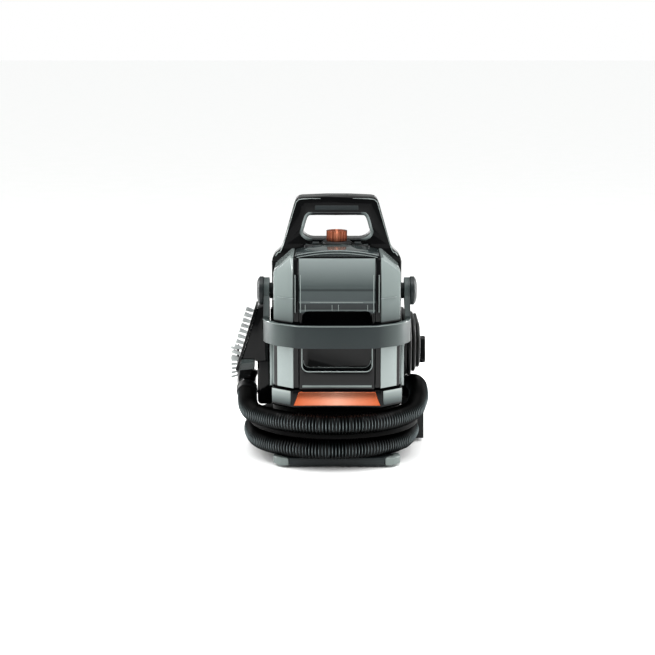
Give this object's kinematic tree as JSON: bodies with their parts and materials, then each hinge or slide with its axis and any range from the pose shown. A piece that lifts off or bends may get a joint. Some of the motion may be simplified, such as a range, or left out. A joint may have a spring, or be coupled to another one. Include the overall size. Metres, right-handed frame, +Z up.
{
  "type": "portable carpet cleaner",
  "caption": "Portable spot cleaner: carrying arch, lift-off smoked recovery tank with bail handle, rear water tank, ribbed hose round the base, brush tool and wound power cord.",
  "frame": {"origin": "on the floor under the centre of the base pan, at the face of the pan's centre boss", "axes": "+Z up, -Y towards the front with the recovery tank, +X towards the cord wrap"},
  "size_m": [0.3147, 0.3484, 0.4009],
  "materials": {
    "gloss_black_abs": "high gloss",
    "satin_black_abs": "satin",
    "slate_grey_abs": "satin",
    "silver_grey_abs": "satin silver",
    "copper_plate": "rose copper plate",
    "smoked_tank_plastic": "smoked clear",
    "black_rubber": "soft matt",
    "grey_bristle": "nylon bristle",
    "plated_steel": "zinc plate",
    "board_green": "solder mask",
    "float_white": "moulded"
  },
  "bodies": {
    "base": {"tank_deck": "gloss_black_abs", "main_housing": "gloss_black_abs", "handle_arch": "gloss_black_abs", "control_shelf": "gloss_black_abs", "hose_cuff_tool": "gloss_black_abs", "tool_body": "gloss_black_abs", "tool_elbow": "gloss_black_abs", "base_pan": "satin_black_abs", "lower_housing": "satin_black_abs", "hose_shelf": "satin_black_abs", "exhaust_grille": "satin_black_abs", "fan_housing": "satin_black_abs", "dial_collar": "satin_black_abs", "cord_wrap": "satin_black_abs", "hose_port": "slate_grey_abs", "base_skid_left": "silver_grey_abs", "base_skid_right": "silver_grey_abs", "toe_trim_left": "silver_grey_abs", "toe_trim_right": "silver_grey_abs", "tank_guide_left": "silver_grey_abs", "tank_guide_right": "silver_grey_abs", "brush_plate": "silver_grey_abs", "badge_plate": "copper_plate", "tool_nozzle": "smoked_tank_plastic", "rubber_foot_1": "black_rubber", "rubber_foot_2": "black_rubber", "rubber_foot_3": "black_rubber", "rubber_foot_4": "black_rubber", "cord_coil": "black_rubber", "cord_lead": "black_rubber", "cord_tail": "black_rubber", "cord_gland": "black_rubber", "power_plug": "black_rubber", "hose": "black_rubber", "brush_bristles": "grey_bristle", "edge_brush": "grey_bristle", "vacuum_motor": "plated_steel", "water_pump": "plated_steel", "steam_heater": "plated_steel", "circuit_board": "board_green"},
    "recovery_tank": {"recovery_tank": "smoked_tank_plastic", "tank_lid": "smoked_tank_plastic", "tank_seal": "black_rubber", "intake_tube": "smoked_tank_plastic", "float_rod": "silver_grey_abs", "pivot_pin_left": "satin_black_abs", "pivot_pin_right": "satin_black_abs"},
    "float": {"float": "float_white"},
    "bail": {"bail_handle": "slate_grey_abs", "pivot_cap_left": "slate_grey_abs", "pivot_cap_right": "slate_grey_abs"},
    "clean_tank": {"clean_tank": "smoked_tank_plastic", "tank_valve": "black_rubber"},
    "clean_tank_cap": {"clean_tank_cap": "satin_black_abs"},
    "dial": {"dial_knob": "copper_plate"},
    "rocker_power": {"rocker_power": "slate_grey_abs"},
    "rocker_heat": {"rocker_heat": "slate_grey_abs"},
    "cord_hook": {"cord_hook": "gloss_black_abs"},
    "tool_trigger": {"tool_trigger": "silver_grey_abs"},
    "impeller": {"impeller": "plated_steel"}
  },
  "joints": [
    {"name": "recovery_tank_slide", "type": "slide", "parent": "base", "child": "recovery_tank", "axis": [0, -1, 0], "range_m": [0, 0.16]},
    {"name": "bail_swing", "type": "hinge", "parent": "recovery_tank", "child": "bail", "pos_m": [0, -0.06, 0.2603], "axis": [-1, 0, 0], "range_deg": [0, 110]},
    {"name": "float_rise", "type": "slide", "parent": "recovery_tank", "child": "float", "axis": [0, 0, 1], "range_m": [0, 0.12]},
    {"name": "clean_tank_lift", "type": "slide", "parent": "base", "child": "clean_tank", "axis": [0, 0, 1], "range_m": [0, 0.15]},
    {"name": "clean_cap_turn", "type": "hinge", "parent": "clean_tank", "child": "clean_tank_cap", "pos_m": [0, 0.0935, 0.2983], "axis": [0, 0, 1], "range_deg": [0, 270]},
    {"name": "dial_turn", "type": "hinge", "parent": "base", "child": "dial", "pos_m": [0, -0.04, 0.3357], "axis": [0, 0, 1], "range_deg": [-135, 135]},
    {"name": "rocker_power_tilt", "type": "hinge", "parent": "base", "child": "rocker_power", "pos_m": [-0.0325, -0.04, 0.3304], "axis": [1, 0, 0], "range_deg": [-7, 7]},
    {"name": "rocker_heat_tilt", "type": "hinge", "parent": "base", "child": "rocker_heat", "pos_m": [0.0325, -0.04, 0.3304], "axis": [1, 0, 0], "range_deg": [-7, 7]},
    {"name": "cord_hook_turn", "type": "hinge", "parent": "base", "child": "cord_hook", "pos_m": [0.1021, 0.03, 0.165], "axis": [1, 0, 0], "range_deg": [0, 180]},
    {"name": "tool_trigger_pull", "type": "hinge", "parent": "base", "child": "tool_trigger", "pos_m": [-0.127, 0.0155, 0.176], "axis": [-1, 0, 0], "range_deg": [0, 10], "stiffness_Nm_per_rad": 0.3},
    {"name": "impeller_spin", "type": "hinge", "parent": "base", "child": "impeller", "pos_m": [0, 0.015, 0.0584], "axis": [0, 0, 1], "continuous": true}
  ]
}
